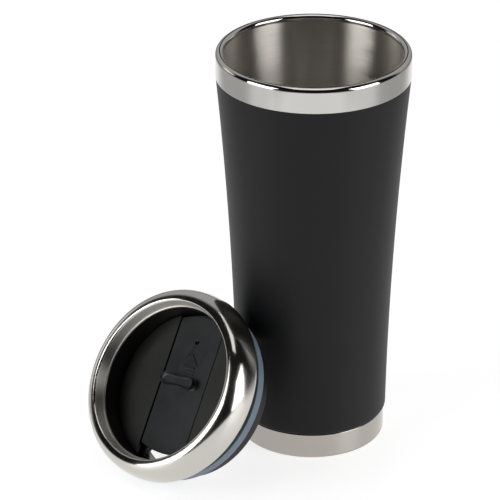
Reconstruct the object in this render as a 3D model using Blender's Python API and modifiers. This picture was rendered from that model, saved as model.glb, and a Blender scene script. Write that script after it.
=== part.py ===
"""Insulated tumbler with a press-in slider lid.

The tumbler stands on z = 0 with its axis on world Z. The lid is off: it leans
on the tumbler's side with the lower edge of its skirt on the table. Lengths
are written in millimetres and multiplied by MM, so the scene is in metres.
"""

import math

import bmesh
import bpy
from mathutils import Matrix, Vector

MM = 0.001
GAP = 0.3
STEPS = 48
MERGE = 0.00001

# Tumbler
HEIGHT = 175.0
RIM_RADIUS = 40.6
RIM_BAND_HEIGHT = 11.0
LIP_INNER_RADIUS = 37.2
LIP_ROUND = 1.6
LIP_INNER_ROUND = 1.4
BASE_RADIUS = 31.0
BASE_BAND_HEIGHT = 11.2
SHELL_FOOT_RADIUS = 31.8
SHELL_FOOT_ROUND = 1.6
SHELL_SLOPE = 2.32
SHELL_FLARE = 6.33
SHEET = 0.5
CAVITY = 1.75
FOIL = 0.25
LINER_FLOOR = 13.6
LINER_CORNER = 9.0

# Lid, in its own frame: z = 0 is the plane of its top edge, -z goes down into it
LID_CENTRE = (-63.0, -45.2, 45.05)
LID_AZIMUTH = 223.86
LID_ELEVATION = 36.79
TRACK_TURN = 10.0
TRIM_RADIUS = 41.3
TRIM_CREST_RADIUS = 35.2
TRIM_CREST_ROUND = 1.1
TRIM_FULLNESS = 2.4
TRIM_WALL_RADIUS = 33.6
TRIM_WALL_DEPTH = 5.25
TRIM_HEIGHT = 12.5
TRIM_SHEET = 0.7
WELL_RADIUS = 33.4
WELL_WALL = 1.6
SEAT_DEPTH = 13.6
SEAT_RADIUS = 39.4
DECK_DEPTH = 15.3
FLOOR_DEPTH = 19.0
FLOOR_THICKNESS = 2.0
SKIRT_RADIUS = 34.4
SKIRT_DEPTH = 30.3
SKIRT_WALL = 1.6
GASKET_RADIUS = 37.6
GASKET_TOP = 14.0
GASKET_BOTTOM = 23.1

# Slider, at the part-open place that it rests in
SLIDER_WIDTH = 24.4
SLIDER_LENGTH = 60.0
SLIDER_SHIFT = 2.0
SLIDER_THICKNESS = 2.4
SLIDER_FLANGE = 1.3
TAB_LENGTH = 18.0
TAB_WIDTH = 5.2
TAB_HEIGHT = 3.7
TAB_SHIFT = 2.8
TAB_ASIDE = -1.3
VENT_RADIUS = 0.9
VENT_SHIFT = 20.8
FLOOR_VENT_SHIFT = 15.0
ARROW_TIP = 15.6
ARROW_BASE = 10.6
DRINK_SIZE = (20.4, 5.6)
DRINK_SHIFT = -28.6
PAD_SIZE = (23.4, 8.4)
PAD_EDGE = 0.8
PAD_RECESS = 0.9


def clear_scene():
    for thing in list(bpy.data.objects):
        bpy.data.objects.remove(thing, do_unlink=True)


def new_collection(name):
    group = bpy.data.collections.new(name)
    bpy.context.scene.collection.children.link(group)
    return group


def material(name, colour, roughness, metallic):
    mat = bpy.data.materials.new(name)
    mat.use_nodes = True
    shader = mat.node_tree.nodes["Principled BSDF"]
    shader.inputs["Base Color"].default_value = (*colour, 1.0)
    shader.inputs["Roughness"].default_value = roughness
    shader.inputs["Metallic"].default_value = metallic
    return mat


def arc(centre, radius, start, end, count):
    """Points on an arc in the (radius, height) plane, angles in degrees."""
    points = []
    for i in range(count + 1):
        angle = math.radians(start + (end - start) * i / count)
        points.append((centre[0] + radius * math.cos(angle), centre[1] + radius * math.sin(angle)))
    return points


def mesh_object(name, mesh, mat, group):
    obj = bpy.data.objects.new(name, mesh)
    group.objects.link(obj)
    if mat:
        mesh.materials.append(mat)
    return obj


def shade_round(obj):
    obj.data.shade_smooth()
    obj.data.set_sharp_from_angle(angle=math.radians(35))


def turned(name, profile, mat, group, closed=False, wall=0.0):
    """Turn a profile about Z: a closed loop is a ring, an open one with a wall is a shell."""
    mesh = bpy.data.meshes.new(name)
    count = len(profile)
    edges = [(i, i + 1) for i in range(count - 1)]
    if closed:
        edges.append((count - 1, 0))
    mesh.from_pydata([(r * MM, 0.0, z * MM) for r, z in profile], edges, [])
    obj = mesh_object(name, mesh, mat, group)
    screw = obj.modifiers.new("turn", "SCREW")
    screw.steps = STEPS
    screw.render_steps = STEPS
    screw.use_merge_vertices = True
    screw.merge_threshold = MERGE
    screw.use_smooth_shade = True
    if wall:
        solid = obj.modifiers.new("wall", "SOLIDIFY")
        solid.thickness = wall * MM
        solid.offset = -1.0
        solid.use_even_offset = True
    return obj


def block(name, size, centre, group, mat=None):
    """An axis-aligned box, size and centre in millimetres."""
    mesh = bpy.data.meshes.new(name)
    bm = bmesh.new()
    bmesh.ops.create_cube(bm, size=1.0)
    bmesh.ops.scale(bm, vec=Vector(size) * MM, verts=bm.verts)
    bmesh.ops.translate(bm, vec=Vector(centre) * MM, verts=bm.verts)
    bm.to_mesh(mesh)
    bm.free()
    return mesh_object(name, mesh, mat, group)


def rod(name, radius, depth, centre, group, mat=None, sides=24):
    """An upright cylinder, sizes in millimetres."""
    mesh = bpy.data.meshes.new(name)
    bm = bmesh.new()
    bmesh.ops.create_cone(
        bm, cap_ends=True, segments=sides, radius1=radius * MM, radius2=radius * MM, depth=depth * MM
    )
    bmesh.ops.translate(bm, vec=Vector(centre) * MM, verts=bm.verts)
    bm.to_mesh(mesh)
    bm.free()
    return mesh_object(name, mesh, mat, group)


def outline_slab(name, outline, bottom, top, group, mat=None):
    """A flat outline in the XY plane pulled up from bottom to top."""
    mesh = bpy.data.meshes.new(name)
    bm = bmesh.new()
    face = bm.faces.new([bm.verts.new((x * MM, y * MM, bottom * MM)) for x, y in outline])
    pulled = bmesh.ops.extrude_face_region(bm, geom=[face])
    moved = [v for v in pulled["geom"] if isinstance(v, bmesh.types.BMVert)]
    bmesh.ops.translate(bm, vec=(0.0, 0.0, (top - bottom) * MM), verts=moved)
    bmesh.ops.recalc_face_normals(bm, faces=bm.faces)
    bm.to_mesh(mesh)
    bm.free()
    return mesh_object(name, mesh, mat, group)


def as_cutter(tool, parent=None):
    tool.hide_render = True
    tool.display_type = "WIRE"
    tool.parent = parent
    return tool


def combine(obj, tool, operation):
    mod = obj.modifiers.new(operation.lower() + "_" + tool.name, "BOOLEAN")
    mod.operation = operation
    mod.object = tool
    mod.solver = "EXACT"
    return obj


def shell_radius(height):
    """Outer radius of the body: almost straight low down, flaring to the rim."""
    span = HEIGHT - RIM_BAND_HEIGHT - BASE_BAND_HEIGHT
    t = (height - BASE_BAND_HEIGHT) / span
    return SHELL_FOOT_RADIUS + SHELL_SLOPE * t + SHELL_FLARE * t * t


def flare_profile(top, bottom, inset, count):
    """Stations of the flare, set in from the outer radius, from top to bottom."""
    heights = [top + (bottom - top) * i / count for i in range(count + 1)]
    return [(shell_radius(z) - inset, z) for z in heights]


def make_outer_shell(group):
    """Black coated outer wall, its lower edge rolled in above the base band."""
    foot = BASE_BAND_HEIGHT + GAP
    top = HEIGHT - RIM_BAND_HEIGHT - GAP
    low = foot + SHELL_FOOT_ROUND
    profile = flare_profile(top, low, 0.0, 7)
    centre = (shell_radius(low) - SHELL_FOOT_ROUND, low)
    profile += arc(centre, SHELL_FOOT_ROUND, 0.0, -60.0, 3)[1:]
    mat = material("black_coat", (0.012, 0.012, 0.013), 0.48, 0.0)
    return turned("outer_shell", profile, mat, group, wall=SHEET)


def make_rim_band(group):
    """Polished lip ring: outer band, rounded lip with a narrow flat top, inner leg."""
    bottom = HEIGHT - RIM_BAND_HEIGHT
    land = RIM_RADIUS - LIP_ROUND
    turn = LIP_INNER_ROUND
    profile = [(LIP_INNER_RADIUS, HEIGHT - 6.0)]
    profile += arc((LIP_INNER_RADIUS + turn, HEIGHT - turn), turn, 180, 90, 4)
    profile += arc((land, HEIGHT - LIP_ROUND), LIP_ROUND, 90, 0, 4)
    profile += [(RIM_RADIUS, bottom + 0.5), (RIM_RADIUS - 0.3, bottom)]
    mat = material("polished_steel", (0.62, 0.6, 0.57), 0.08, 1.0)
    return turned("rim_band", profile, mat, group, wall=SHEET)


def liner_inset():
    return SHEET + CAVITY + FOIL + GAP


def make_inner_liner(group):
    """Drawn steel cup that holds the drink, brushed inside."""
    inset = liner_inset()
    top = HEIGHT - 6.0 - GAP
    bottom = LINER_FLOOR - SHEET
    low = bottom + LINER_CORNER
    profile = [(LIP_INNER_RADIUS + SHEET, top), (LIP_INNER_RADIUS + SHEET, top - 2.0)]
    profile += flare_profile(HEIGHT - RIM_BAND_HEIGHT - 2.0, low, inset, 5)
    centre = (shell_radius(low) - inset - LINER_CORNER, low)
    profile += arc(centre, LINER_CORNER, 0, -90, 5)[1:]
    profile.append((0.0, bottom))
    mat = material("brushed_steel", (0.4, 0.38, 0.36), 0.28, 1.0)
    return turned("inner_liner", profile, mat, group, wall=SHEET)


def make_heat_shield(group):
    """Thin copper foil wrapped round the liner inside the vacuum gap."""
    inset = SHEET + CAVITY
    profile = flare_profile(150.0, 26.0, inset, 4)
    mat = material("copper_foil", (0.75, 0.36, 0.22), 0.3, 1.0)
    return turned("heat_shield", profile, mat, group, wall=FOIL)


def make_base_cup(group):
    """Polished cup pressed over the bottom: the steel band and the flat foot."""
    edge_round = 1.5
    lead_in = 0.4
    profile = [(BASE_RADIUS - lead_in, BASE_BAND_HEIGHT), (BASE_RADIUS, BASE_BAND_HEIGHT - lead_in)]
    profile += arc((BASE_RADIUS - edge_round, edge_round), edge_round, 0, -90, 4)
    profile.append((0.0, 0.0))
    mat = material("base_steel", (0.55, 0.52, 0.49), 0.14, 1.0)
    return turned("base_cup", profile, mat, group, wall=SHEET)


def make_shell_bottom(group):
    """Pan that closes the vacuum space, with the dimple it was evacuated through."""
    radius = BASE_RADIUS - SHEET - GAP
    floor = 4.4
    corner = 2.0
    profile = [(radius, BASE_BAND_HEIGHT + 1.0)]
    profile += arc((radius - corner, floor + corner), corner, 0, -90, 3)
    profile += [(6.0, floor), (4.6, floor + 1.8), (0.0, floor + 1.8)]
    mat = material("plain_steel", (0.5, 0.5, 0.5), 0.35, 1.0)
    return turned("shell_bottom", profile, mat, group, wall=SHEET)


def make_seal_bead(group):
    """Glass bead that seals the evacuation hole, in the dimple under the pan."""
    top = 6.2 - GAP
    profile = [(0.0, top), (3.0, top), (3.6, top - 0.7), (3.0, top - 1.6), (0.0, top - 2.0)]
    mat = material("seal_glass", (0.35, 0.33, 0.28), 0.2, 0.0)
    return turned("seal_bead", profile, mat, group)


def make_getter(group):
    """Getter tablet that keeps the vacuum hard, under the floor of the liner."""
    bottom = 8.2
    top = LINER_FLOOR - 2 * SHEET - 0.6
    profile = [(0.0, top), (4.6, top), (5.0, top - 0.4), (5.0, bottom + 0.4), (4.6, bottom)]
    profile.append((0.0, bottom))
    mat = material("getter_alloy", (0.2, 0.2, 0.21), 0.6, 0.6)
    return turned("getter", profile, mat, group)


def make_trim_ring(group):
    """Polished domed ring: inner cone, rolled top edge, dome and lower edge."""
    profile = [(TRIM_WALL_RADIUS, -TRIM_WALL_DEPTH)]
    profile += arc((TRIM_CREST_RADIUS, -TRIM_CREST_ROUND), TRIM_CREST_ROUND, 165, 90, 4)
    start = TRIM_CREST_RADIUS + 0.2
    drop = TRIM_HEIGHT - 1.1
    steps = 8
    for i in range(1, steps + 1):
        angle = math.radians(90.0 * i / steps)
        across = math.sin(angle) ** (2.0 / TRIM_FULLNESS)
        down = 1.0 - math.cos(angle) ** (2.0 / TRIM_FULLNESS) if i < steps else 1.0
        profile.append((start + (TRIM_RADIUS - start) * across, -drop * down))
    profile.append((TRIM_RADIUS - 0.1, -TRIM_HEIGHT))
    mat = material("trim_steel", (0.62, 0.6, 0.57), 0.08, 1.0)
    return turned("trim_ring", profile, mat, group, wall=TRIM_SHEET)


def make_lid_body(group, cutters, lid):
    """Black moulding: well, floor, seat flange and the skirt that enters the cup."""
    outer = WELL_RADIUS + WELL_WALL
    well_top = -TRIM_WALL_DEPTH - TRIM_SHEET
    floor = -FLOOR_DEPTH
    under = floor - FLOOR_THICKNESS
    skirt_round = 1.6
    inner = SKIRT_RADIUS - SKIRT_WALL
    rib = SKIRT_RADIUS + 0.9
    profile = [(0.0, floor), (WELL_RADIUS, floor), (WELL_RADIUS, well_top), (outer, well_top)]
    profile += [(outer, -10.6), (SEAT_RADIUS - 0.6, -10.6), (SEAT_RADIUS, -11.2)]
    seat_inner = GASKET_RADIUS + 0.2
    relief = -SEAT_DEPTH + 0.3
    profile += [(SEAT_RADIUS, -SEAT_DEPTH), (seat_inner, -SEAT_DEPTH), (seat_inner, relief)]
    profile.append((SKIRT_RADIUS, relief))
    profile += [(SKIRT_RADIUS, -GASKET_BOTTOM - GAP), (rib, -GASKET_BOTTOM - GAP)]
    profile += [(rib, -GASKET_BOTTOM - 1.3), (SKIRT_RADIUS, -GASKET_BOTTOM - 2.0)]
    profile += arc((SKIRT_RADIUS - skirt_round, -SKIRT_DEPTH + skirt_round), skirt_round, 0, -80, 3)
    profile += [(inner, -SKIRT_DEPTH + 1.0), (inner, under), (0.0, under)]
    mat = material("black_plastic", (0.01, 0.01, 0.01), 0.35, 0.0)
    body = turned("lid_body", profile, mat, group)
    depth = FLOOR_THICKNESS + 2.0
    centre_z = floor - FLOOR_THICKNESS / 2
    slot = slot_outline(*DRINK_SIZE, DRINK_SHIFT)
    drink = outline_slab("drink_cut", slot, centre_z - depth / 2, centre_z + depth / 2, cutters)
    vent = rod("vent_cut", VENT_RADIUS, depth, (0.0, FLOOR_VENT_SHIFT, centre_z), cutters, sides=12)
    for tool in (drink, vent):
        combine(body, as_cutter(tool, lid), "DIFFERENCE")
    return body


def slot_outline(length, width, shift):
    """A slot with round ends along X, centred at y = shift."""
    radius = width / 2
    reach = length / 2 - radius
    right = arc((reach, shift), radius, -90, 90, 6)
    left = arc((-reach, shift), radius, 90, 270, 6)
    return right + left


def deck_outline(side):
    """Part of the well's circle that lies beyond the slider on one side."""
    radius = WELL_RADIUS - GAP
    edge = SLIDER_WIDTH / 2 + GAP
    reach = math.degrees(math.acos(edge / radius))
    middle = 0.0 if side > 0 else 180.0
    return arc((0.0, 0.0), radius, middle - reach, middle + reach, 16)


def make_deck(name, side, group, cutters, lid):
    """Fixed cover beside the slider, undercut to hold the slider's flange down."""
    bottom = -FLOOR_DEPTH + GAP
    mat = material(name + "_plastic", (0.022, 0.021, 0.02), 0.42, 0.0)
    deck = outline_slab(name, deck_outline(side), bottom, -DECK_DEPTH, group, mat)
    lip = SLIDER_WIDTH / 2 + SLIDER_FLANGE + GAP
    top = -DECK_DEPTH - SLIDER_THICKNESS + 0.05 + GAP
    height = top - bottom + 1.0
    tool = block(name + "_undercut", (2 * lip, 80.0, height), (0.0, 0.0, top - height / 2), cutters)
    return combine(deck, as_cutter(tool, lid), "DIFFERENCE")


def slider_outline(half_width, trim):
    """Slider plan about its own middle: straight sides and ends curved like the well."""
    radius = WELL_RADIUS - 2 * GAP
    half = SLIDER_LENGTH / 2 - trim
    reach = math.degrees(math.asin(half_width / radius))
    top = arc((0.0, half - radius), radius, 90 - reach, 90 + reach, 8)
    bottom = arc((0.0, radius - half), radius, 270 - reach, 270 + reach, 8)
    return top + bottom


def tab_outline():
    """Thumb tab in plan: round ends and a slight waist."""
    radius = TAB_WIDTH / 2
    reach = TAB_LENGTH / 2 - radius
    waist = radius - 0.5
    shift = TAB_SHIFT - SLIDER_SHIFT
    right = arc((TAB_ASIDE + reach, shift), radius, -80, 80, 6)
    left = arc((TAB_ASIDE - reach, shift), radius, 100, 260, 6)
    return right + [(TAB_ASIDE, shift + waist)] + left + [(TAB_ASIDE, shift - waist)]


def make_slider(group, cutters, pivot):
    """Sliding cover: plate, hold-down flange, thumb tab, raised arrow and vent hole."""
    top = -DECK_DEPTH
    plate_bottom = top - SLIDER_THICKNESS
    mat = material("slider_plastic", (0.02, 0.021, 0.023), 0.38, 0.0)
    slider = outline_slab("slider", slider_outline(SLIDER_WIDTH / 2, 0.0), plate_bottom, top, group, mat)
    flange_half = SLIDER_WIDTH / 2 + SLIDER_FLANGE
    flange = outline_slab(
        "slider_flange", slider_outline(flange_half, 1.0), plate_bottom - 1.0, plate_bottom + 0.05, cutters
    )
    tab = outline_slab("slider_tab", tab_outline(), top - 0.5, top + TAB_HEIGHT, cutters)
    tip = ARROW_TIP - SLIDER_SHIFT
    base = ARROW_BASE - SLIDER_SHIFT
    arrow = [(0.0, tip), (-4.6, base), (-3.5, base), (0.0, tip - 1.3), (3.5, base), (4.6, base)]
    head = outline_slab("slider_arrow", arrow, top - 0.4, top + 0.3, cutters)
    marks = [flange, tab, head]
    for i in range(3):
        centre = (0.0, base - 1.2 - 1.4 * i, top - 0.05)
        marks.append(block(f"slider_bar_{i}", (7.0, 0.6, 0.7), centre, cutters))
    for tool in marks:
        combine(slider, as_cutter(tool, pivot), "UNION")
    hole = rod("slider_vent", VENT_RADIUS, 8.0, (0.0, VENT_SHIFT - SLIDER_SHIFT, top), cutters, sides=12)
    length, width = PAD_SIZE
    pocket_outline = slot_outline(length + 2 * GAP, width + 2 * GAP, pad_shift())
    pocket_top = plate_bottom - 1.0 + PAD_RECESS + GAP
    pocket = outline_slab("slider_pocket", pocket_outline, plate_bottom - 2.0, pocket_top, cutters)
    for tool in (hole, pocket):
        combine(slider, as_cutter(tool, pivot), "DIFFERENCE")
    return slider


def pad_shift():
    """Middle of the seal pad along the slider, from the slider's own middle."""
    return -SLIDER_LENGTH / 2 + PAD_EDGE + PAD_SIZE[1] / 2


def make_slider_seal(group):
    """Silicone pad set into the slider's underside, which closes the drink opening."""
    under = -DECK_DEPTH - SLIDER_THICKNESS - 1.0
    outline = slot_outline(*PAD_SIZE, pad_shift())
    mat = material("seal_silicone", (0.3, 0.32, 0.34), 0.5, 0.0)
    return outline_slab("slider_seal", outline, under - 0.1, under + PAD_RECESS, group, mat)


def make_lid_gasket(group):
    """Silicone ring round the skirt: a bead at the top and a band with a soft lower edge."""
    inner = SKIRT_RADIUS + GAP
    outer = GASKET_RADIUS
    profile = [(inner, -GASKET_TOP), (outer - 1.0, -GASKET_TOP), (outer - 0.6, -GASKET_TOP - 0.6)]
    profile += [(outer + 0.1, -GASKET_TOP - 1.6), (outer + 0.1, -GASKET_TOP - 2.3)]
    profile += [(outer - 0.8, -GASKET_TOP - 2.8), (outer, -GASKET_TOP - 3.6)]
    profile += [(outer, -GASKET_BOTTOM + 1.0), (outer - 1.0, -GASKET_BOTTOM)]
    profile.append((inner, -GASKET_BOTTOM))
    mat = material("gasket_silicone", (0.2, 0.25, 0.32), 0.4, 0.0)
    return turned("lid_gasket", profile, mat, group, closed=True)


def lid_frame():
    """Matrix of the lid: local Z is its outward axis, local Y runs up the slider's track."""
    azimuth = math.radians(LID_AZIMUTH)
    elevation = math.radians(LID_ELEVATION)
    flat = math.cos(elevation)
    out = Vector((flat * math.cos(azimuth), flat * math.sin(azimuth), math.sin(elevation)))
    side = Vector((0.0, 0.0, 1.0)).cross(out).normalized()
    up = out.cross(side)
    turn = math.radians(TRACK_TURN)
    track = up * math.cos(turn) - side * math.sin(turn)
    across = track.cross(out)
    axes = Matrix((across, track, out)).transposed().to_4x4()
    return Matrix.Translation(Vector(LID_CENTRE) * MM) @ axes


def empty(name, group, matrix, parent=None):
    obj = bpy.data.objects.new(name, None)
    group.objects.link(obj)
    obj.empty_display_size = 0.02
    obj.parent = parent
    obj.matrix_local = matrix
    return obj


def build():
    clear_scene()
    group = new_collection("insulated_tumbler")
    cutters = new_collection("cutters")
    for make in (make_outer_shell, make_rim_band, make_inner_liner, make_heat_shield):
        make(group)
    for make in (make_base_cup, make_shell_bottom, make_seal_bead, make_getter):
        make(group)
    lid = empty("lid_axis", group, lid_frame())
    slide = Matrix.Translation((0.0, SLIDER_SHIFT * MM, 0.0))
    slider_pivot = empty("slider_axis", group, slide, parent=lid)
    fixed = [make_trim_ring(group), make_lid_body(group, cutters, lid), make_lid_gasket(group)]
    fixed.append(make_deck("deck_left", -1, group, cutters, lid))
    fixed.append(make_deck("deck_right", 1, group, cutters, lid))
    for piece in fixed:
        piece.parent = lid
    for piece in (make_slider(group, cutters, slider_pivot), make_slider_seal(group)):
        piece.parent = slider_pivot
    bpy.context.view_layer.update()


build()
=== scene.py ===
import math

import bpy
from mathutils import Matrix, Vector


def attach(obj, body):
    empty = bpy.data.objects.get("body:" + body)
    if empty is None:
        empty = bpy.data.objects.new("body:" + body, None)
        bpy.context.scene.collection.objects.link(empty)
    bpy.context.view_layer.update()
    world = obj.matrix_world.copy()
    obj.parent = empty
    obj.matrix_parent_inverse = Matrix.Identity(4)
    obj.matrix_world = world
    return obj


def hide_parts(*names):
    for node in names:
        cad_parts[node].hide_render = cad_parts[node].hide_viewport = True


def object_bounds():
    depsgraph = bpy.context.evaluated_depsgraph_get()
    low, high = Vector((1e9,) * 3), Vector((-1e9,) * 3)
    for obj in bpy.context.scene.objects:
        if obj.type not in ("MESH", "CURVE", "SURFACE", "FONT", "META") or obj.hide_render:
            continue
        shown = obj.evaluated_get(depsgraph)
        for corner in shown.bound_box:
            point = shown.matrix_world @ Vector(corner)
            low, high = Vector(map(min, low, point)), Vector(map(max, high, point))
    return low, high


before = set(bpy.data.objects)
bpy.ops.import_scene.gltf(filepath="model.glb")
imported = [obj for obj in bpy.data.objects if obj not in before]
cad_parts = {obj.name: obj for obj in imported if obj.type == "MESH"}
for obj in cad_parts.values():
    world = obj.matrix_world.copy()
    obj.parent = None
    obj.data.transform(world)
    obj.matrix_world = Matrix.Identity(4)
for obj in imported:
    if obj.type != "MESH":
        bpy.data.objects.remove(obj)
cad_low, cad_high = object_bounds()


# ---- Drink cup ----
# The inner wall of the tumbler: one drawn cup of thin stainless steel, flared like the
# body outside it, brushed round and round inside and welded under the lip.
MM = 0.001
HEIGHT = cad_high.z
BAND_HEIGHT = 11.0 * MM
FOOT_HEIGHT = 11.2 * MM
WALL = 0.5 * MM
ROUND_STEPS = 7


def body_radius(height):
    """Outer radius of the body at a height: nearly straight below, flared towards the rim."""
    t = (height - FOOT_HEIGHT) / (HEIGHT - BAND_HEIGHT - FOOT_HEIGHT)
    return (31.8 + 2.32 * t + 6.33 * t * t) * MM


def flare(low, high, inset, count):
    """Stations of the flared wall from one height to another, set in from the outside."""
    heights = [low + (high - low) * i / count for i in range(count + 1)]
    return [(body_radius(z) - inset, z, 0.0) for z in heights]


def rounded(corners):
    """Outline through corners (radius, height, rounding), with an arc at each rounding."""
    points = []
    for i, (r, z, rounding) in enumerate(corners):
        here = Vector((r, z))
        if rounding == 0.0:
            points.append(here)
            continue
        back = (Vector(corners[i - 1][:2]) - here).normalized()
        ahead = (Vector(corners[(i + 1) % len(corners)][:2]) - here).normalized()
        half = back.angle(ahead) / 2
        reach = rounding / math.tan(half)
        centre = here + (back + ahead).normalized() * rounding / math.sin(half)
        start = here + back * reach - centre
        end = here + ahead * reach - centre
        first = math.atan2(start.y, start.x)
        turn = (math.atan2(end.y, end.x) - first + math.pi) % (2 * math.pi) - math.pi
        points.append(here + back * (reach + 0.15 * rounding))
        for k in range(ROUND_STEPS + 1):
            angle = first + turn * k / ROUND_STEPS
            points.append(centre + rounding * Vector((math.cos(angle), math.sin(angle))))
        points.append(here + ahead * (reach + 0.15 * rounding))
    return points


def select_where(obj, test):
    """In edit mode, select only the vertices that pass the test."""
    bpy.ops.object.mode_set(mode="OBJECT")
    for vertex in obj.data.vertices:
        vertex.select = test(vertex.co)
    for edge in obj.data.edges:
        edge.select = all(obj.data.vertices[v].select for v in edge.vertices)
    for face in obj.data.polygons:
        face.select = all(obj.data.vertices[v].select for v in face.vertices)
    bpy.ops.object.mode_set(mode="EDIT")


def close_and_smooth(obj, angle=32.0):
    """Merge doubles, turn the faces outwards and shade by angle; leaves object mode."""
    bpy.ops.object.mode_set(mode="EDIT")
    bpy.ops.mesh.select_all(action="SELECT")
    bpy.ops.mesh.remove_doubles(threshold=0.000002)
    bpy.ops.mesh.normals_make_consistent(inside=False)
    bpy.ops.object.mode_set(mode="OBJECT")
    bpy.ops.object.shade_smooth_by_angle(angle=math.radians(angle))


def turned(name, outline, segments=256):
    """A ring raised from a circle: extruded and resized from station to station."""
    bpy.ops.object.select_all(action="DESELECT")
    first = outline[0]
    bpy.ops.mesh.primitive_circle_add(
        vertices=segments, radius=first[0], location=(0.0, 0.0, first[1])
    )
    obj = bpy.context.object
    obj.name = name
    bpy.ops.object.transform_apply(location=True, rotation=True, scale=True)
    bpy.ops.object.mode_set(mode="EDIT")
    bpy.ops.mesh.select_all(action="SELECT")
    for a, b in zip(outline, outline[1:]):
        bpy.ops.mesh.extrude_edges_move(TRANSFORM_OT_translate={"value": (0.0, 0.0, b[1] - a[1])})
        grow = b[0] / a[0]
        bpy.ops.transform.resize(value=(grow, grow, 1.0), center_override=(0.0, 0.0, 0.0))
    for r, z in (outline[0], outline[-1]):
        if r < POLE:
            select_where(obj, lambda co: co.xy.length < 1.5 * POLE and abs(co.z - z) < POLE)
            bpy.ops.mesh.merge(type="CENTER")
    close_and_smooth(obj)
    return obj


POLE = 0.05 * MM
LIP_LEG = 2.6 * MM
CUP_FLOOR = 13.3 * MM
CUP_CORNER = 8.5 * MM
CUP_INSET = 3.3 * MM


def nodes_of(name, colour, roughness, metallic):
    """A new material, its node tree, its shader and its object coordinates."""
    mat = bpy.data.materials.new(name)
    mat.use_nodes = True
    tree = mat.node_tree
    shader = tree.nodes["Principled BSDF"]
    shader.inputs["Base Color"].default_value = (*colour, 1.0)
    shader.inputs["Roughness"].default_value = roughness
    shader.inputs["Metallic"].default_value = metallic
    place = tree.nodes.new("ShaderNodeTexCoord").outputs["Object"]
    return mat, tree, shader, place


def noise(tree, vector, scale, detail=2.0, rough=0.5):
    """A soft random pattern between 0 and 1."""
    node = tree.nodes.new("ShaderNodeTexNoise")
    node.inputs["Scale"].default_value = scale
    node.inputs["Detail"].default_value = detail
    node.inputs["Roughness"].default_value = rough
    tree.links.new(vector, node.inputs["Vector"])
    return node.outputs["Fac"]


def spread(tree, value, low, high, target, start=0.0, end=1.0):
    """Send a pattern to a shader socket as a number between low and high."""
    node = tree.nodes.new("ShaderNodeMapRange")
    node.inputs["From Min"].default_value = start
    node.inputs["From Max"].default_value = end
    node.inputs["To Min"].default_value = low
    node.inputs["To Max"].default_value = high
    tree.links.new(value, node.inputs["Value"])
    tree.links.new(node.outputs["Result"], target)
    return node.outputs["Result"]


def tint(tree, value, low, high, target):
    """Send a pattern to a shader's colour, between two colours."""
    node = tree.nodes.new("ShaderNodeMix")
    node.data_type = "RGBA"
    node.inputs["A"].default_value = (*low, 1.0)
    node.inputs["B"].default_value = (*high, 1.0)
    tree.links.new(value, node.inputs["Factor"])
    tree.links.new(node.outputs["Result"], target)


def bump(tree, value, height, shader, strength):
    """Raise the surface by a pattern; height is the pattern's depth in metres."""
    node = tree.nodes.new("ShaderNodeBump")
    node.inputs["Strength"].default_value = strength
    node.inputs["Distance"].default_value = height
    tree.links.new(value, node.inputs["Height"])
    tree.links.new(node.outputs["Normal"], shader.inputs["Normal"])


def math_node(tree, operation, a, b=None):
    """One sum on patterns or numbers."""
    node = tree.nodes.new("ShaderNodeMath")
    node.operation = operation
    for socket, value in zip(node.inputs, (a, b)):
        if value is None:
            continue
        if isinstance(value, (int, float)):
            socket.default_value = value
        else:
            tree.links.new(value, socket)
    return node.outputs[0]


def around(tree, place, centre, axes):
    """Angle round an axis, distance from it and height along it, for rings and brush lines."""
    shifted = tree.nodes.new("ShaderNodeVectorMath")
    shifted.operation = "SUBTRACT"
    shifted.inputs[1].default_value = centre
    tree.links.new(place, shifted.inputs[0])
    parts = []
    for axis in axes:
        dot = tree.nodes.new("ShaderNodeVectorMath")
        dot.operation = "DOT_PRODUCT"
        dot.inputs[1].default_value = axis
        tree.links.new(shifted.outputs[0], dot.inputs[0])
        parts.append(dot.outputs["Value"])
    angle = math_node(tree, "ARCTAN2", parts[1], parts[0])
    squares = [math_node(tree, "POWER", part, 2.0) for part in parts[:2]]
    distance = math_node(tree, "SQRT", math_node(tree, "ADD", *squares))
    return angle, distance, parts[2]


def brush_lines(tree, angle, height, fine):
    """A pattern of long fine lines that run round the axis; fine is how close they lie."""
    joined = tree.nodes.new("ShaderNodeCombineXYZ")
    tree.links.new(math_node(tree, "MULTIPLY", angle, 1.6), joined.inputs["X"])
    tree.links.new(math_node(tree, "MULTIPLY", height, fine), joined.inputs["Y"])
    return noise(tree, joined.outputs[0], 1.0, 4.0, 0.65)


def swung_normal(tree, shader, lines, axis, amount):
    """Swing the surface a little about the axis, line by line, as a brushed finish does."""
    facing = tree.nodes.new("ShaderNodeNewGeometry").outputs["Normal"]
    cross = tree.nodes.new("ShaderNodeVectorMath")
    cross.operation = "CROSS_PRODUCT"
    cross.inputs[0].default_value = axis
    tree.links.new(facing, cross.inputs[1])
    swing = tree.nodes.new("ShaderNodeVectorMath")
    swing.operation = "SCALE"
    tree.links.new(cross.outputs[0], swing.inputs[0])
    centred = math_node(tree, "SUBTRACT", lines, 0.5)
    tree.links.new(math_node(tree, "MULTIPLY", centred, amount), swing.inputs["Scale"])
    total = tree.nodes.new("ShaderNodeVectorMath")
    total.operation = "ADD"
    tree.links.new(facing, total.inputs[0])
    tree.links.new(swing.outputs[0], total.inputs[1])
    unit = tree.nodes.new("ShaderNodeVectorMath")
    unit.operation = "NORMALIZE"
    tree.links.new(total.outputs[0], unit.inputs[0])
    tree.links.new(unit.outputs[0], shader.inputs["Normal"])


UPRIGHT_AXES = ((1.0, 0.0, 0.0), (0.0, 1.0, 0.0), (0.0, 0.0, 1.0))
BRUSHED_DARK = (0.57, 0.54, 0.5)
BRUSHED_LIGHT = (0.78, 0.75, 0.7)
BRUSHED_SWING = 0.22
WELD_RADIUS = 37.7 * MM
MOUTH_RADIUS = 37.2 * MM

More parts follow.
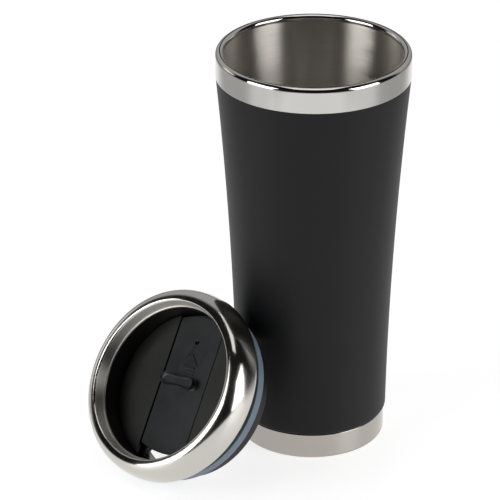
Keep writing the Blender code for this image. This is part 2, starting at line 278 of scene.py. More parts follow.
leg_top = HEIGHT - LIP_LEG
neck = leg_top - 3 * MM
flare_low = CUP_FLOOR + CUP_CORNER + 3 * MM
flare_high = HEIGHT - BAND_HEIGHT
corner = (body_radius(CUP_FLOOR) - CUP_INSET, CUP_FLOOR, CUP_CORNER)
inside = [(POLE, CUP_FLOOR, 0.0), corner] + flare(flare_low, flare_high, CUP_INSET, 24)
inside += [(MOUTH_RADIUS, neck, 0.0), (MOUTH_RADIUS, leg_top, 0.0), (WELD_RADIUS, leg_top, 0.0)]
under = CUP_FLOOR - WALL
outside = [(WELD_RADIUS, neck, 0.0)] + flare(flare_high, flare_low, CUP_INSET - WALL, 24)
outside += [(corner[0] + WALL, under, CUP_CORNER + WALL), (POLE, under, 0.0)]
drink_cup = turned("drink_cup", rounded(inside + outside))

mat, tree, shader, place = nodes_of("brushed_inside", BRUSHED_LIGHT, 0.3, 1.0)
angle, distance, height = around(tree, place, (0.0, 0.0, 0.0), UPRIGHT_AXES)
lines = brush_lines(tree, angle, height, 2200.0)
spread(tree, lines, 0.3, 0.4, shader.inputs["Roughness"], 0.25, 0.75)
tint(tree, lines, BRUSHED_DARK, BRUSHED_LIGHT, shader.inputs["Base Color"])
swung_normal(tree, shader, lines, (0.0, 0.0, 1.0), BRUSHED_SWING)
shader.inputs["Anisotropic"].default_value = 0.97
# Across the brushing: up the wall, and outwards over the cup's floor.
upright = tree.nodes.new("ShaderNodeCombineXYZ")
upright.inputs["Z"].default_value = 1.0
outward = tree.nodes.new("ShaderNodeSeparateXYZ")
tree.links.new(place, outward.inputs[0])
for part in ("X", "Y"):
    lean = math_node(tree, "MULTIPLY", outward.outputs[part], 12.0)
    tree.links.new(lean, upright.inputs[part])
tree.links.new(upright.outputs[0], shader.inputs["Tangent"])
drink_cup.data.materials.append(mat)
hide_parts("inner_liner")
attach(drink_cup, "tumbler")


# ---- Lip ring ----
# The polished steel rim: the sheet comes up the outside, turns over a soft rounded lip and
# is welded to the cup just inside. Its lower edge stands a little proud of the black coat.
RIM_RADIUS = 40.6 * MM
LIP_OUTER_ROUND = 1.85 * MM
LIP_INNER_ROUND = 1.5 * MM
LIP_TOP = HEIGHT - 0.35 * MM
BAND_BOTTOM = HEIGHT - BAND_HEIGHT - 0.1 * MM

leg = leg_top + 0.05 * MM
lip = [(MOUTH_RADIUS + WALL, leg, 0.0), (MOUTH_RADIUS, leg, 0.0)]
lip += [(MOUTH_RADIUS, LIP_TOP, LIP_INNER_ROUND), (RIM_RADIUS, LIP_TOP, LIP_OUTER_ROUND)]
lip += [(RIM_RADIUS, BAND_BOTTOM + 5 * MM, 0.0), (RIM_RADIUS, BAND_BOTTOM, 0.22 * MM)]
lip += [(RIM_RADIUS - WALL, BAND_BOTTOM, 0.0)]
lip += [(RIM_RADIUS - WALL, LIP_TOP - WALL, LIP_OUTER_ROUND - WALL)]
lip += [(MOUTH_RADIUS + WALL, LIP_TOP - WALL, LIP_INNER_ROUND - WALL)]
lip.append(lip[0])
lip_ring = turned("lip_ring", rounded(lip), 320)


def polished_steel(name, colour, low_rough, high_rough):
    """Polished stainless steel with a faint cloudiness and a very fine ripple."""
    mat, tree, shader, place = nodes_of(name, colour, low_rough, 1.0)
    cloud = noise(tree, place, 60.0, 3.0)
    spread(tree, cloud, low_rough, high_rough, shader.inputs["Roughness"], 0.3, 0.7)
    bump(tree, noise(tree, place, 900.0, 2.0), 0.000002, shader, 0.25)
    return mat


RIM_STEEL = (0.57, 0.555, 0.53)
lip_ring.data.materials.append(polished_steel("polished_rim", RIM_STEEL, 0.04, 0.08))
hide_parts("rim_band")
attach(lip_ring, "tumbler")


# ---- Coated body ----
# The outer wall of the tumbler, a flared steel tube with a matte black powder coat. Its
# lower edge is rolled in above the base band, so the coat ends in a rounded edge.
SHELL_ROLL = 1.6 * MM
SHELL_WALL = 1.2 * MM
BASE_TUCK = 29.9 * MM
COAT_DARK = (0.006, 0.006, 0.0063)
COAT_LIGHT = (0.009, 0.009, 0.0094)

shell_low = FOOT_HEIGHT + 0.12 * MM
shell_top = BAND_BOTTOM - 0.08 * MM
top_radius = body_radius(shell_top)
body = [(top_radius - SHELL_WALL, shell_top, 0.0), (top_radius, shell_top, 0.25 * MM)]
body += flare(shell_top - 1.5 * MM, shell_low + 3 * MM, 0.0, 40)
body += [(body_radius(shell_low), shell_low, SHELL_ROLL), (BASE_TUCK, shell_low, 0.0)]
body += [(BASE_TUCK, shell_low + 0.8 * MM, 0.0)]
body += flare(shell_low + 3 * MM, shell_top - 1.5 * MM, SHELL_WALL, 20)
body.append(body[0])
coated_body = turned("coated_body", rounded(body), 320)

mat, tree, shader, place = nodes_of("black_powder_coat", COAT_LIGHT, 0.5, 0.0)
shader.inputs["Specular IOR Level"].default_value = 0.2
grain = noise(tree, place, 4200.0, 2.0, 0.55)
spread(tree, grain, 0.44, 0.56, shader.inputs["Roughness"], 0.3, 0.7)
cloud = noise(tree, place, 35.0, 3.0)
tint(tree, cloud, COAT_DARK, COAT_LIGHT, shader.inputs["Base Color"])
bump(tree, grain, 0.00004, shader, 0.35)
coated_body.data.materials.append(mat)
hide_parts("outer_shell")
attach(coated_body, "tumbler")


# ---- Base band ----
# A shallow steel cup pressed over the bottom. Its wall is the polished band under the coat,
# and its floor is the flat foot, with one shallow groove pressed in.
BASE_RADIUS = 31.0 * MM
GROOVE = 0.35 * MM
# The base band's steel colour is darker than the rim's and the trim's: painted shade, standing in
# for the shadowed floor that the band reflects.
BASE_STEEL_WITH_PAINTED_SHADE = (0.43, 0.405, 0.37)

base = [(BASE_RADIUS - WALL, FOOT_HEIGHT, 0.0), (BASE_RADIUS, FOOT_HEIGHT, 0.25 * MM)]
base += [(BASE_RADIUS, 0.0, 1.5 * MM), (26.5 * MM, 0.0, 0.3 * MM), (25.9 * MM, GROOVE, 0.3 * MM)]
base += [(24.1 * MM, GROOVE, 0.3 * MM), (23.5 * MM, 0.0, 0.3 * MM), (POLE, 0.0, 0.0)]
floor = [(POLE, WALL + GROOVE, 0.0), (29.0 * MM, WALL + GROOVE, 0.0)]
floor += [(BASE_RADIUS - WALL, 2.5 * MM, 0.0), base[0]]
base_cup_outer = turned("base_band", rounded(base + floor), 320)
base_cup_outer.data.materials.append(polished_steel("base_steel", BASE_STEEL_WITH_PAINTED_SHADE, 0.1, 0.16))
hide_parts("base_cup")
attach(base_cup_outer, "tumbler")


# ---- Hidden pieces ----
# What is sealed between the tumbler's walls: a copper foil wrap, the dished pan of the outer
# wall, the getter tablet that keeps the vacuum and the glass bead that closes it.
# Each row: node, colour, roughness, metal, and how fine its mottling is.
HIDDEN = (
    ("heat_shield", (0.72, 0.33, 0.19), 0.22, 1.0, 180.0),
    ("shell_bottom", (0.5, 0.49, 0.47), 0.3, 1.0, 320.0),
    ("getter", (0.16, 0.16, 0.17), 0.6, 0.6, 1500.0),
    ("seal_bead", (0.3, 0.27, 0.2), 0.15, 0.0, 500.0),
)

for node, colour, roughness, metallic, scale in HIDDEN:
    mat, tree, shader, place = nodes_of(node + "_stuff", colour, roughness, metallic)
    pattern = noise(tree, place, scale, 3.0)
    spread(tree, pattern, 0.8 * roughness, 1.25 * roughness, shader.inputs["Roughness"])
    bump(tree, pattern, 0.00002, shader, 0.4)
    hidden = bpy.data.objects[node]
    hidden.data.materials.clear()
    hidden.data.materials.append(mat)


# ---- Lid trim ----
# A spun ring of polished steel clipped over the lid: a brushed cone inside, a tight rolled
# crest, and a dome outside that comes down past the seat.
LID_CENTRE = Vector((-63.0, -45.2, 45.05)) * MM
LID_AZIMUTH = math.radians(223.86)
LID_ELEVATION = math.radians(36.79)
TRACK_TURN = math.radians(10.0)
TRIM_RADIUS = 41.24 * MM
TRIM_SHEET = 0.7 * MM
CREST_RADIUS = 35.2 * MM
CREST_ROUND = 1.1 * MM
FULLNESS = 2.4
CONE_RADIUS = 33.6 * MM
CONE_DEPTH = 5.25 * MM
TRIM_DROP = 11.4 * MM
TRIM_HEIGHT = 12.5 * MM
SHELF_REACH = 0.55 * MM
SHELF_ROUND = 0.35 * MM
SHELF_LIFT = 0.05 * MM
TRIM_STEEL = (0.56, 0.54, 0.505)
CONE_BRUSHING = 0.3

lid_out = Vector((
    math.cos(LID_ELEVATION) * math.cos(LID_AZIMUTH),
    math.cos(LID_ELEVATION) * math.sin(LID_AZIMUTH),
    math.sin(LID_ELEVATION),
))
lid_side = Vector((0.0, 0.0, 1.0)).cross(lid_out).normalized()
lid_track = lid_out.cross(lid_side) * math.cos(TRACK_TURN) - lid_side * math.sin(TRACK_TURN)
lid_across = lid_track.cross(lid_out)
LID_AXES = (tuple(lid_across), tuple(lid_track), tuple(lid_out))
lid_frame = Matrix.Translation(LID_CENTRE) @ Matrix(LID_AXES).transposed().to_4x4()


def place_on_lid(obj, body):
    """Move a piece modelled round the origin to the lid, keeping its origin and scale plain."""
    bpy.ops.object.select_all(action="DESELECT")
    obj.select_set(True)
    bpy.context.view_layer.objects.active = obj
    obj.matrix_world = lid_frame
    bpy.ops.object.transform_apply(location=True, rotation=True, scale=True)
    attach(obj, body)


def inset_line(points, depth):
    """The same outline moved sideways by the sheet's thickness, back to front."""
    moved = []
    for i, here in enumerate(points):
        before, after = points[max(i - 1, 0)], points[min(i + 1, len(points) - 1)]
        along = (Vector(after) - Vector(before)).normalized()
        moved.append(Vector(here) + depth * Vector((along.y, -along.x)))
    return moved[::-1]


def arc_line(centre, radius, first, last, steps):
    """Points on part of a circle, in degrees."""
    middle = Vector(centre)
    angles = [math.radians(first + (last - first) * i / steps) for i in range(steps + 1)]
    return [middle + radius * Vector((math.cos(a), math.sin(a))) for a in angles]


shelf = [Vector((CONE_RADIUS - SHELF_REACH, -CONE_DEPTH + SHELF_LIFT))]
shelf_middle = (CONE_RADIUS - SHELF_ROUND, -CONE_DEPTH + SHELF_LIFT + SHELF_ROUND)
shelf += arc_line(shelf_middle, SHELF_ROUND, 270, 345, 5)
cone_low = Vector((CONE_RADIUS + 0.04 * MM, -CONE_DEPTH + 0.6 * MM))
crest = arc_line((CREST_RADIUS, -CREST_ROUND), CREST_ROUND, 165, 90, 12)
cone = [cone_low.lerp(crest[0], i / 8) for i in range(8)]
start = CREST_RADIUS + 0.1 * MM
dome = []
for i in range(1, 49):
    angle = math.radians(90.0 * i / 48)
    across = math.sin(angle) ** (2 / FULLNESS)
    down = 1 - max(math.cos(angle), 0.0) ** (2 / FULLNESS)
    dome.append(Vector((start + (TRIM_RADIUS - start) * across, -TRIM_DROP * down)))
hem = [Vector((TRIM_RADIUS - 0.03 * MM, -TRIM_DROP - 0.5 * MM))]
hem.append(Vector((TRIM_RADIUS - 0.12 * MM, -TRIM_HEIGHT + 0.15 * MM)))
hem.append(Vector((TRIM_RADIUS - 0.3 * MM, -TRIM_HEIGHT)))
skin = shelf + cone + crest + dome + hem
lid_trim = turned("lid_trim", skin + inset_line(skin, TRIM_SHEET) + [skin[0]], 320)

mat, tree, shader, place = nodes_of("polished_trim", TRIM_STEEL, 0.08, 1.0)
shader.inputs["Anisotropic"].default_value = 0.9
meridian = tree.nodes.new("ShaderNodeCombineXYZ")
for part, value in zip(meridian.inputs, lid_out):
    part.default_value = value
tree.links.new(meridian.outputs[0], shader.inputs["Tangent"])
angle, distance, height = around(tree, place, LID_CENTRE, LID_AXES)
lines = brush_lines(tree, angle, height, 6000.0)
inner_cone = math_node(tree, "LESS_THAN", distance, CREST_RADIUS - 0.95 * MM)
rough = math_node(tree, "MULTIPLY", inner_cone, CONE_BRUSHING)
cloud = noise(tree, place, 70.0, 3.0)
soft = spread(tree, cloud, 0.11, 0.15, shader.inputs["Roughness"], 0.3, 0.7)
tree.links.new(math_node(tree, "ADD", soft, rough), shader.inputs["Roughness"])
bump(tree, math_node(tree, "MULTIPLY", lines, inner_cone), 0.000012, shader, 0.5)
lid_trim.data.materials.append(mat)
place_on_lid(lid_trim, "lid")
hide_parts("trim_ring")


# ---- Lid body ----
# One black moulding: the well that the slider runs in, its floor with the drink opening and
# the vent, the seat flange and the skirt that presses into the cup.
WELL_RADIUS = 33.4 * MM
WELL_OUTER = 35.0 * MM
FLOOR_DEPTH = 19.0 * MM
FLOOR_UNDER = 21.0 * MM
FLANGE_TOP = 10.6 * MM
SEAT_RADIUS = 39.4 * MM
SEAT_DEPTH = 13.6 * MM
SEAT_INNER = 37.8 * MM
SKIRT_RADIUS = 34.4 * MM
SKIRT_DEPTH = 30.15 * MM
SKIRT_INNER = 32.8 * MM
RIB_RADIUS = 35.3 * MM
GASKET_BOTTOM = 23.1 * MM
DRINK_LENGTH = 20.4 * MM
DRINK_WIDTH = 5.6 * MM
DRINK_SHIFT = -28.6 * MM
VENT_RADIUS = 0.9 * MM
FLOOR_VENT_SHIFT = 15.0 * MM
WELL_BLACK = (0.008, 0.0078, 0.0076)

well_top = -CONE_DEPTH - TRIM_SHEET
rib = -GASKET_BOTTOM - 0.3 * MM
relief = -SEAT_DEPTH + 0.3 * MM
well = [(POLE, -FLOOR_DEPTH, 0.0), (WELL_RADIUS, -FLOOR_DEPTH, 0.6 * MM)]
well += [(WELL_RADIUS, well_top, 0.25 * MM), (WELL_OUTER, well_top, 0.2 * MM)]
flange = [(WELL_OUTER, -FLANGE_TOP, 0.4 * MM), (SEAT_RADIUS, -FLANGE_TOP, 0.5 * MM)]
flange += [(SEAT_RADIUS, -SEAT_DEPTH, 0.2 * MM), (SEAT_INNER, -SEAT_DEPTH, 0.1 * MM)]
flange += [(SEAT_INNER, relief, 0.0), (SKIRT_RADIUS, relief, 0.1 * MM)]
skirt = [(SKIRT_RADIUS, rib, 0.1 * MM), (RIB_RADIUS, rib, 0.2 * MM)]
skirt += [(RIB_RADIUS, rib - 1.0 * MM, 0.3 * MM), (SKIRT_RADIUS, rib - 1.9 * MM, 0.4 * MM)]
skirt += [(SKIRT_RADIUS, -SKIRT_DEPTH, 1.4 * MM), (SKIRT_INNER, -SKIRT_DEPTH, 0.1 * MM)]
skirt += [(SKIRT_INNER, -FLOOR_UNDER, 0.6 * MM), (POLE, -FLOOR_UNDER, 0.0)]
lid_well = turned("lid_well", rounded(well + flange + skirt), 256)


def slab(name, outline, bottom, top):
    """A flat plate from an outline: one filled face, extruded up."""
    bpy.ops.object.select_all(action="DESELECT")
    bpy.ops.mesh.primitive_circle_add(vertices=len(outline), radius=1.0, fill_type="NGON")
    obj = bpy.context.object
    obj.name = name
    for vertex, point in zip(obj.data.vertices, outline):
        vertex.co = (point[0], point[1], bottom)
    bpy.ops.object.mode_set(mode="EDIT")
    bpy.ops.mesh.select_all(action="SELECT")
    bpy.ops.mesh.extrude_region_move(TRANSFORM_OT_translate={"value": (0.0, 0.0, top - bottom)})
    close_and_smooth(obj)
    return obj


def combine(obj, tool, operation):
    """Join or cut with a second shape, which is then removed."""
    modifier = obj.modifiers.new(operation, "BOOLEAN")
    modifier.operation = operation
    modifier.solver = "EXACT"
    modifier.object = tool
    bpy.context.view_layer.objects.active = obj
    bpy.ops.object.modifier_apply(modifier=modifier.name)
    bpy.data.objects.remove(tool, do_unlink=True)


def even_shading(obj, angle=35.0):
    """Shade so that the large flat faces stay flat and only the small rounds turn the light."""
    close_and_smooth(obj, angle)
    modifier = obj.modifiers.new("even", "WEIGHTED_NORMAL")
    modifier.mode = "FACE_AREA"
    modifier.weight = 100
    modifier.keep_sharp = True
    bpy.context.view_layer.objects.active = obj
    bpy.ops.object.modifier_apply(modifier=modifier.name)


def slot_line(length, width, shift, steps=14):
    """A slot with round ends along X, centred at y = shift."""
    reach = (length - width) / 2
    right_end = arc_line((reach, shift), width / 2, -90, 90, steps)
    return right_end + arc_line((-reach, shift), width / 2, 90, 270, steps)


def soften(obj, width, angle=40.0, segments=3):
    """Round the piece's sharp edges a little."""
    modifier = obj.modifiers.new("soften", "BEVEL")
    modifier.width = width
    modifier.segments = segments
    modifier.limit_method = "ANGLE"
    modifier.angle_limit = math.radians(angle)
    bpy.context.view_layer.objects.active = obj
    bpy.ops.object.modifier_apply(modifier=modifier.name)


drink_line = slot_line(DRINK_LENGTH, DRINK_WIDTH, DRINK_SHIFT)
vent_line = arc_line((0.0, FLOOR_VENT_SHIFT), VENT_RADIUS, 0, 350, 35)
for hole_line in (drink_line, vent_line):
    hole = slab("hole", hole_line, -FLOOR_UNDER - 1 * MM, -FLOOR_DEPTH + 1 * MM)
    combine(lid_well, hole, "DIFFERENCE")
even_shading(lid_well)


def plastic(name, colour, roughness, grain_scale, grain_height):
    """Moulded plastic: a fine spark texture and a slightly uneven sheen."""
    mat, tree, shader, place = nodes_of(name, colour, roughness, 0.0)
    shader.inputs["Specular IOR Level"].default_value = 0.3
    grain = noise(tree, place, grain_scale, 2.0)
    cloud = noise(tree, place, 90.0, 3.0)
    spread(tree, cloud, 0.88 * roughness, 1.12 * roughness, shader.inputs["Roughness"], 0.3, 0.7)
    darker = tuple(0.8 * part for part in colour)
    lighter = tuple(1.2 * part for part in colour)
    tint(tree, cloud, darker, lighter, shader.inputs["Base Color"])
    bump(tree, grain, grain_height, shader, 0.3)
    return mat


lid_well.data.materials.append(plastic("well_plastic", WELL_BLACK, 0.34, 3000.0, 0.00002))
place_on_lid(lid_well, "lid")
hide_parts("lid_body")


# ---- Covers beside the slider ----
# Two fixed plastic covers, one on each side of the slider's track. They are pressed into the
# well and undercut along the track to hold the slider down; the left gap is a little wider.
GAP = 0.3 * MM
DECK_DEPTH = 15.3 * MM
SLIDER_WIDTH = 24.4 * MM
SLIDER_THICKNESS = 2.4 * MM
SLIDER_FLANGE = 1.3 * MM
WIDE_GAP = 0.35 * MM
DECK_BLACK = (0.011, 0.0102, 0.0094)

deck_radius = WELL_RADIUS - GAP
deck_edge = SLIDER_WIDTH / 2 + GAP
deck_bottom = -FLOOR_DEPTH + GAP
for side, node in ((-1, "deck_left"), (1, "deck_right")):
    dish = [(POLE, -DECK_DEPTH, 0.0), (deck_radius, -DECK_DEPTH, 0.3 * MM)]
    dish += [(deck_radius, deck_bottom, 0.0), (POLE, deck_bottom, 0.0)]
    cover = turned("cover_" + node[5:], rounded(dish), 256)
    bpy.ops.object.mode_set(mode="EDIT")
    bpy.ops.mesh.select_all(action="SELECT")
    cut = side * deck_edge - (WIDE_GAP if side < 0 else 0.0)
    bpy.ops.mesh.bisect(
        plane_co=(cut, 0.0, 0.0), plane_no=(side, 0.0, 0.0), use_fill=True, clear_inner=True
    )
    close_and_smooth(cover)
    half = SLIDER_WIDTH / 2 + SLIDER_FLANGE + GAP
    end = WELL_RADIUS + 6.6 * MM
    undercut_top = -DECK_DEPTH - SLIDER_THICKNESS + 0.05 * MM + GAP
    corners = [(-half, -end), (half, -end), (half, end), (-half, end)]
    combine(cover, slab("undercut", corners, deck_bottom - 1 * MM, undercut_top), "DIFFERENCE")
    soften(cover, 0.25 * MM, 50.0)
    even_shading(cover)
    cover.data.materials.append(plastic(node + "_stuff", DECK_BLACK, 0.4, 3600.0, 0.00002))
    place_on_lid(cover, "lid")
    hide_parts(node)


# ---- Slider ----
# The sliding cover: a satin plastic plate with a raised thumb tab, a raised arrow, three bars
# and the vent hole, and a flange below that runs under the covers.
SLIDER_LENGTH = 60.0 * MM
SLIDER_SHIFT = 2.0 * MM
TAB_LENGTH = 18.0 * MM
TAB_WIDTH = 5.2 * MM
TAB_HEIGHT = 3.7 * MM
TAB_SHIFT = 2.8 * MM
TAB_ASIDE = -1.3 * MM
ARROW_TIP = 15.6 * MM
ARROW_BASE = 10.6 * MM
ARROW_HALF = 4.6 * MM
ARROW_LINE = 1.1 * MM
ARROW_RAISED = 0.45 * MM
BAR_LENGTH = 7.0 * MM
BAR_WIDTH = 0.6 * MM
BAR_STEP = 1.4 * MM
SLIDER_VENT_RADIUS = 1.1 * MM
SLIDER_VENT_SHIFT = 20.8 * MM
SLIDER_BLACK = (0.0125, 0.0133, 0.0148)


def slider_line(half_width, trim, steps=20):
    """Slider plan: straight sides and ends curved like the well."""
    radius = WELL_RADIUS - 2 * GAP
    half = SLIDER_LENGTH / 2 - trim
    reach = math.degrees(math.asin(half_width / radius))
    high = (0.0, SLIDER_SHIFT + half - radius)
    low = (0.0, SLIDER_SHIFT + radius - half)
    top = arc_line(high, radius, 90 - reach, 90 + reach, steps)
    return top + arc_line(low, radius, 270 - reach, 270 + reach, steps)


plate_bottom = -DECK_DEPTH - SLIDER_THICKNESS
slide_cover = slab("slide_cover", slider_line(SLIDER_WIDTH / 2, 0.0), plate_bottom, -DECK_DEPTH)
soften(slide_cover, 0.35 * MM, 60.0)
flange_line = slider_line(SLIDER_WIDTH / 2 + SLIDER_FLANGE, 1.0 * MM)
flange_bottom = plate_bottom - 1.0 * MM
slider_flange = slab("flange", flange_line, flange_bottom, plate_bottom + 0.05 * MM)
combine(slide_cover, slider_flange, "UNION")

tab_round = TAB_WIDTH / 2
tab_reach = TAB_LENGTH / 2 - tab_round
tab_line = []
for mirror in (1, -1):
    tab_line += [mirror * p for p in arc_line((tab_reach, 0.0), tab_round, -80, 80, 14)]
    for i in range(1, 12):
        x = (tab_reach + 0.4 * MM) * (1 - i / 6.0)
        waist = tab_round - 0.5 * MM * math.cos(math.radians(90) * x / tab_reach) ** 2
        tab_line.append(mirror * Vector((x, waist)))
tab_line = [Vector((p.x + TAB_ASIDE, p.y + TAB_SHIFT)) for p in tab_line]
thumb_tab = slab("thumb_tab", tab_line, -DECK_DEPTH - 0.5 * MM, -DECK_DEPTH + TAB_HEIGHT)
bpy.ops.object.mode_set(mode="EDIT")
select_where(thumb_tab, lambda co: co.z > -DECK_DEPTH)
for draw_in, sink in ((0.965, 0.0), (0.92, -0.18 * MM), (0.86, -0.3 * MM), (0.7, -0.25 * MM)):
    bpy.ops.mesh.extrude_region_move(TRANSFORM_OT_translate={"value": (0.0, 0.0, sink)})
    bpy.ops.transform.resize(
        value=(draw_in ** 0.35, draw_in, 1.0), center_override=(TAB_ASIDE, TAB_SHIFT, 0.0)
    )
close_and_smooth(thumb_tab, 40.0)
soften(thumb_tab, 0.35 * MM, 50.0)
combine(slide_cover, thumb_tab, "UNION")

mark_bottom = -DECK_DEPTH - 0.4 * MM
mark_top = -DECK_DEPTH + ARROW_RAISED
arrow_inner = ARROW_HALF - ARROW_LINE
arrow_line = [(0.0, ARROW_TIP), (-ARROW_HALF, ARROW_BASE), (-arrow_inner, ARROW_BASE)]
arrow_line += [(0.0, ARROW_TIP - 1.3 * MM), (arrow_inner, ARROW_BASE), (ARROW_HALF, ARROW_BASE)]
arrow = slab("arrow", arrow_line, mark_bottom, mark_top)
soften(arrow, 0.1 * MM, 30.0, 2)
combine(slide_cover, arrow, "UNION")
for i in range(3):
    bar_line = slot_line(BAR_LENGTH, BAR_WIDTH, ARROW_BASE - 1.2 * MM - BAR_STEP * i, 6)
    combine(slide_cover, slab("bar", bar_line, mark_bottom, mark_top), "UNION")
vent_line = arc_line((0.0, SLIDER_VENT_SHIFT), SLIDER_VENT_RADIUS, 0, 350, 35)
vent_hole = slab("hole", vent_line, plate_bottom - 3 * MM, -DECK_DEPTH + 1 * MM)
combine(slide_cover, vent_hole, "DIFFERENCE")
PAD_LENGTH = 23.4 * MM
PAD_WIDTH = 8.4 * MM
PAD_RECESS = 0.9 * MM
pad_shift = SLIDER_SHIFT - SLIDER_LENGTH / 2 + 0.8 * MM + PAD_WIDTH / 2
pocket_line = slot_line(PAD_LENGTH + 2 * GAP, PAD_WIDTH + 2 * GAP, pad_shift)
pocket_top = flange_bottom + PAD_RECESS + GAP
combine(slide_cover, slab("pocket", pocket_line, plate_bottom - 2 * MM, pocket_top), "DIFFERENCE")
even_shading(slide_cover)
slide_cover.data.materials.append(plastic("slider_stuff", SLIDER_BLACK, 0.36, 3600.0, 0.000015))
place_on_lid(slide_cover, "slider")
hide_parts("slider")


# ---- Seal pad ----
# A grey silicone pad let into the underside of the slider, which covers the drink opening
# when the slider is pushed down.
PAD_THICKNESS = 1.0 * MM
PAD_PROUD = 0.1 * MM
PAD_GREY = (0.3, 0.32, 0.34)

pad_under = flange_bottom - PAD_PROUD
pad_line = slot_line(PAD_LENGTH, PAD_WIDTH, pad_shift, 20)
seal_pad = slab("seal_pad", pad_line, pad_under, pad_under + PAD_THICKNESS)
soften(seal_pad, 0.2 * MM, 60.0)
even_shading(seal_pad)
seal_pad.data.materials.append(plastic("pad_silicone", PAD_GREY, 0.5, 2500.0, 0.00001))
place_on_lid(seal_pad, "slider")
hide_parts("slider_seal")


# ---- Gasket ----
# A blue-grey silicone ring round the skirt: a small bead at its top edge, a deep groove, and a
# plain band that squeezes into the cup's mouth.
GASKET_RADIUS = 37.6 * MM
GASKET_TOP = 14.0 * MM
BEAD_RADIUS = 37.68 * MM
GROOVE_RADIUS = 35.3 * MM
GASKET_BLUE = (0.14, 0.175, 0.22)

inner = SKIRT_RADIUS + GAP
ring = [(inner, -GASKET_TOP, 0.0), (GASKET_RADIUS - 0.8 * MM, -GASKET_TOP, 0.2 * MM)]
ring += [(BEAD_RADIUS, -GASKET_TOP - 1.4 * MM, 0.4 * MM)]
ring += [(BEAD_RADIUS, -GASKET_TOP - 2.4 * MM, 0.35 * MM)]
ring += [(GROOVE_RADIUS, -GASKET_TOP - 2.5 * MM, 0.2 * MM)]
ring += [(GROOVE_RADIUS, -GASKET_TOP - 4.4 * MM, 0.2 * MM)]
ring += [(GASKET_RADIUS, -GASKET_TOP - 4.6 * MM, 0.4 * MM)]
ring += [(GASKET_RADIUS, -GASKET_BOTTOM + 1.0 * MM, 0.8 * MM)]
ring += [(GASKET_RADIUS - 1.0 * MM, -GASKET_BOTTOM, 0.3 * MM), (inner, -GASKET_BOTTOM, 0.0)]
ring.append(ring[0])
gasket_ring = turned("gasket_ring", rounded(ring), 256)
gasket_ring.data.materials.append(plastic("gasket_silicone", GASKET_BLUE, 0.42, 2500.0, 0.00001))
place_on_lid(gasket_ring, "lid")
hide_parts("lid_gasket")


# ---- Floor and light ----
# A plain white, faintly glossy sheet that glows a little and fades to the sides, two upright
# softboxes in front to the left and right, a small soft light overhead, and a surround that
# is pale behind, grey below and dark in front.
FLOOR_RADIUS = 0.85
FLOOR_GLOW = 0.77
FLOOR_GLOW_SIDES = 0.25


def ramp(tree, value, start, end, low=0.0, high=1.0):
    """low before start and high after end, smooth between; end may be the smaller number."""
    node = tree.nodes.new("ShaderNodeMapRange")
    node.interpolation_type = "SMOOTHSTEP"
    rising = start < end
    node.inputs["From Min"].default_value = min(start, end)
    node.inputs["From Max"].default_value = max(start, end)
    node.inputs["To Min"].default_value = low if rising else high
    node.inputs["To Max"].default_value = high if rising else low
    tree.links.new(value, node.inputs["Value"])
    return node.outputs["Result"]


bpy.ops.object.select_all(action="DESELECT")
bpy.ops.mesh.primitive_circle_add(
    vertices=128, radius=FLOOR_RADIUS, fill_type="NGON", location=(0.0, 0.0, 0.0)
)
sheet = bpy.context.object
sheet.name = "floor_sheet"
mat, tree, shader, place = nodes_of("white_sheet", (0.45, 0.45, 0.45), 0.45, 0.0)
spread(tree, noise(tree, place, 12.0), 0.4, 0.5, shader.inputs["Roughness"])
shader.inputs["Emission Color"].default_value = (1.0, 1.0, 1.0, 1.0)
sides = tree.nodes.new("ShaderNodeSeparateXYZ")
tree.links.new(place, sides.inputs[0])
aside = math_node(tree, "ABSOLUTE", sides.outputs["X"])
glow = ramp(tree, aside, 0.2, 0.36, FLOOR_GLOW, FLOOR_GLOW_SIDES)
tree.links.new(glow, shader.inputs["Emission Strength"])
sheet.data.materials.append(mat)

AIM = Vector((0.0, 0.0, 0.09))


def softbox(name, azimuth, elevation, distance, width, height, power):
    """A soft panel light; azimuth runs from straight in front, towards the right."""
    az, el = math.radians(azimuth), math.radians(elevation)
    way = Vector((math.sin(az) * math.cos(el), -math.cos(az) * math.cos(el), math.sin(el)))
    lamp = bpy.data.lights.new(name, "AREA")
    lamp.shape = "RECTANGLE"
    lamp.size = width
    lamp.size_y = height
    lamp.energy = power
    obj = bpy.data.objects.new(name, lamp)
    bpy.context.scene.collection.objects.link(obj)
    obj.location = AIM + way * distance
    obj.rotation_euler = (-way).to_track_quat("-Z", "Y").to_euler()


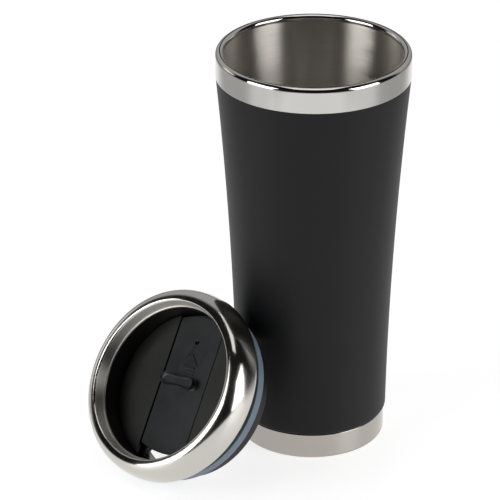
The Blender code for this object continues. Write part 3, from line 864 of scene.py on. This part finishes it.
softbox("left_box", -62.0, 17.0, 1.5, 0.9, 1.09, 14.0)
softbox("right_box", 62.0, 17.0, 1.5, 0.88, 1.09, 13.5)
softbox("top_box", 180.0, 88.0, 1.5, 0.75, 1.0, 3.1)

world = bpy.data.worlds.new("surround")
bpy.context.scene.world = world
world.use_nodes = True
sky = world.node_tree
seen_way = sky.nodes.new("ShaderNodeTexCoord").outputs["Generated"]
parts = sky.nodes.new("ShaderNodeSeparateXYZ")
sky.links.new(seen_way, parts.inputs[0])
rightward, backward, upward = parts.outputs

BACK_GLOW = 0.5
FLANK_GLOW = 0.9
LOW_GLOW = 0.3
DARKEST = 0.01


def product(factors):
    """The factors multiplied together, one after another."""
    total = factors[0]
    for factor in factors[1:]:
        total = math_node(sky, "MULTIPLY", total, factor)
    return total


# The back wall, brighter higher up.
rise = math_node(sky, "ADD", math_node(sky, "MULTIPLY", ramp(sky, upward, -0.1, 0.3), 0.6), 0.4)
back = product([ramp(sky, backward, 0.25, 0.5), BACK_GLOW, rise])
# A pale panel behind to the left, at about the object's own height.
flank = product([
    ramp(sky, backward, 0.18, 0.26), ramp(sky, backward, 0.62, 0.45),
    ramp(sky, rightward, 0.0, -0.2),
    ramp(sky, upward, 0.0, 0.08), ramp(sky, upward, 0.42, 0.32),
    FLANK_GLOW,
])
# Grey all round below the horizon.
below = product([ramp(sky, upward, -0.02, -0.08), LOW_GLOW])
total = math_node(sky, "MAXIMUM", math_node(sky, "ADD", back, flank), below)
backdrop = sky.nodes["Background"]
sky.links.new(math_node(sky, "ADD", total, DARKEST), backdrop.inputs["Strength"])
backdrop.inputs["Color"].default_value = (1.0, 1.0, 1.0, 1.0)


# ---- Camera ----
# A long lens a little above the pair, looking slightly down.
LENS = 266.5
SENSOR = 36.0
view = bpy.data.cameras.new("view")
view.lens = LENS
view.sensor_width = SENSOR
view.clip_start = 0.05
view.clip_end = 20.0
camera = bpy.data.objects.new("view", view)
bpy.context.scene.collection.objects.link(camera)
camera.location = (0.00124, -1.4002, 0.7697)
camera.rotation_euler = (math.radians(63.88), math.radians(0.02), math.radians(1.113))
bpy.context.scene.camera = camera
bpy.context.scene.view_settings.view_transform = "Standard"
